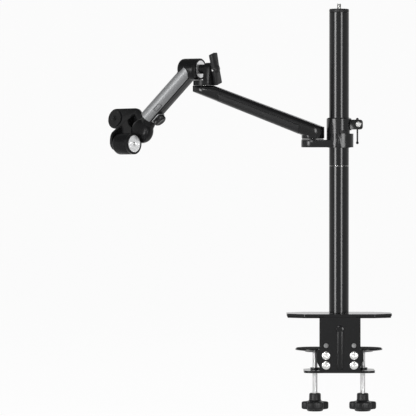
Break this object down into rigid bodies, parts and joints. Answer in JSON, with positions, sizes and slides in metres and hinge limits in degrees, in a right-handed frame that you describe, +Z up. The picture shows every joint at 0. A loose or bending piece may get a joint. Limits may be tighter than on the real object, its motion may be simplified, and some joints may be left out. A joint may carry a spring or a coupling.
{
  "type": "articulated desk mount",
  "caption": "Desk-clamped pole with a sliding collar and a jointed arm that holds a camera over the desk.",
  "frame": {"origin": "on the pole's axis in the plane of the desk top, which is the underside of the plate's pad", "axes": "+Z up along the pole, +X to the right of the picture's view, +Y away from the viewer"},
  "size_m": [0.4344, 0.1868, 0.6193],
  "materials": {
    "black_paint": "satin black powder coat",
    "black_casting": "satin black painted casting",
    "dark_nut": "black oxide",
    "black_plastic": "fine matt grain",
    "rubber": "matt",
    "silver_shell": "silver satin paint",
    "bright_steel": "bright zinc"
  },
  "bodies": {
    "base": {"base_plate": "black_paint", "base_pad": "rubber", "clamp_bracket": "black_paint", "bracket_screw_upper_left": "bright_steel", "bracket_screw_upper_right": "bright_steel", "bracket_screw_lower_left": "bright_steel", "bracket_screw_lower_right": "bright_steel", "spindle_nut_left": "dark_nut", "spindle_nut_right": "dark_nut", "pole_lower": "black_paint", "pole_upper": "black_paint", "pole_joiner": "bright_steel", "pole_foot_plug": "bright_steel", "pole_foot_bolt": "bright_steel", "pole_cap": "black_plastic", "top_stud": "bright_steel"},
    "left_press": {"press_disc_left": "black_paint", "disc_pad_left": "rubber"},
    "right_press": {"press_disc_right": "black_paint", "disc_pad_right": "rubber"},
    "left_spindle": {"clamp_spindle_left": "bright_steel", "star_knob_left": "black_plastic"},
    "right_spindle": {"clamp_spindle_right": "bright_steel", "star_knob_right": "black_plastic"},
    "carriage": {"collar_liner": "black_plastic"},
    "collar": {"collar_body": "black_casting", "clamp_nut": "bright_steel"},
    "collar_screw": {"clamp_screw": "bright_steel"},
    "bar": {"tommy_bar": "bright_steel"},
    "arm": {"lower_arm": "black_casting", "lower_arm_cover": "black_plastic", "arm_washer": "black_plastic", "ear_pivot_bolt": "bright_steel"},
    "elbow": {"elbow_block": "black_casting", "elbow_shaft": "black_casting", "elbow_pivot_pin": "bright_steel"},
    "handle": {"elbow_handle": "black_plastic", "handle_pin": "bright_steel"},
    "forearm": {"forearm_frame": "black_casting", "forearm_shell": "silver_shell", "elbow_face_disc": "silver_shell", "wrist_strip": "silver_shell"},
    "wrist": {"wrist_knuckle": "black_casting", "head_face_disc": "silver_shell", "head_face_screw": "bright_steel"},
    "wrist_clamp": {"wrist_knob": "black_plastic"},
    "head": {"camera_bracket": "black_paint", "camera_pad": "rubber", "head_pivot_bolt": "bright_steel"},
    "head_screw": {"camera_screw": "bright_steel"}
  },
  "joints": [
    {"name": "collar_slide", "type": "slide", "parent": "base", "child": "carriage", "axis": [0, 0, 1], "range_m": [-0.235, 0.158]},
    {"name": "collar_swivel", "type": "hinge", "parent": "carriage", "child": "collar", "pos_m": [0, 0, 0.28], "axis": [0, 0, 1], "continuous": true},
    {"name": "collar_screw_turn", "type": "hinge", "parent": "collar", "child": "collar_screw", "pos_m": [0.0289, 0, 0.293], "axis": [0, 1, 0], "continuous": true},
    {"name": "tommy_bar_slide", "type": "slide", "parent": "collar_screw", "child": "bar", "axis": [0, 0, 1], "range_m": [0, 0.019]},
    {"name": "arm_swivel", "type": "hinge", "parent": "collar", "child": "arm", "pos_m": [-0.04, 0, 0.2712], "axis": [0, 0, 1], "range_deg": [-108, 108]},
    {"name": "elbow_swivel", "type": "hinge", "parent": "arm", "child": "elbow", "pos_m": [-0.204, 0, 0.356], "axis": [0, 0, 1], "range_deg": [-87, 153]},
    {"name": "elbow_handle_turn", "type": "hinge", "parent": "elbow", "child": "handle", "pos_m": [-0.204, 0, 0.377], "axis": [-0.8387, 0.5446, 0], "continuous": true},
    {"name": "elbow_roll", "type": "hinge", "parent": "elbow", "child": "forearm", "pos_m": [-0.204, 0, 0.377], "axis": [-0.8387, 0.5446, 0], "continuous": true},
    {"name": "wrist_roll", "type": "hinge", "parent": "forearm", "child": "wrist", "pos_m": [-0.28244, 0.05094, 0.30514], "axis": [-0.6134, 0.3983, -0.682], "range_deg": [-170, 170]},
    {"name": "wrist_knob_turn", "type": "hinge", "parent": "forearm", "child": "wrist_clamp", "pos_m": [-0.28254, 0.051, 0.31187], "axis": [0.572, -0.3714, -0.7314], "continuous": true},
    {"name": "head_tilt", "type": "hinge", "parent": "wrist", "child": "head", "pos_m": [-0.32479, 0.05924, 0.26362], "axis": [-0.7451, 0.6668, -0.0128], "range_deg": [-120, 120]},
    {"name": "camera_screw_turn", "type": "hinge", "parent": "head", "child": "head_screw", "pos_m": [-0.34345, 0.12658, 0.30312], "axis": [-0.6593, -0.7336, 0.1645], "continuous": true},
    {"name": "left_press_slide", "type": "slide", "parent": "base", "child": "left_press", "axis": [0, 0, 1], "range_m": [-0.023, 0.031]},
    {"name": "right_press_slide", "type": "slide", "parent": "base", "child": "right_press", "axis": [0, 0, 1], "range_m": [-0.023, 0.031]},
    {"name": "left_spindle_turn", "type": "hinge", "parent": "left_press", "child": "left_spindle", "pos_m": [-0.0363, 0, -0.08], "axis": [0, 0, 1], "range_deg": [-6652.8, 8956.8]},
    {"name": "right_spindle_turn", "type": "hinge", "parent": "right_press", "child": "right_spindle", "pos_m": [0.0363, 0, -0.08], "axis": [0, 0, 1], "range_deg": [-6652.8, 8956.8]}
  ],
  "couplings": [
    {"joint": "left_spindle_turn", "follows": "left_press_slide", "rad_per_m": 5026.6},
    {"joint": "right_spindle_turn", "follows": "right_press_slide", "rad_per_m": 5026.6}
  ]
}
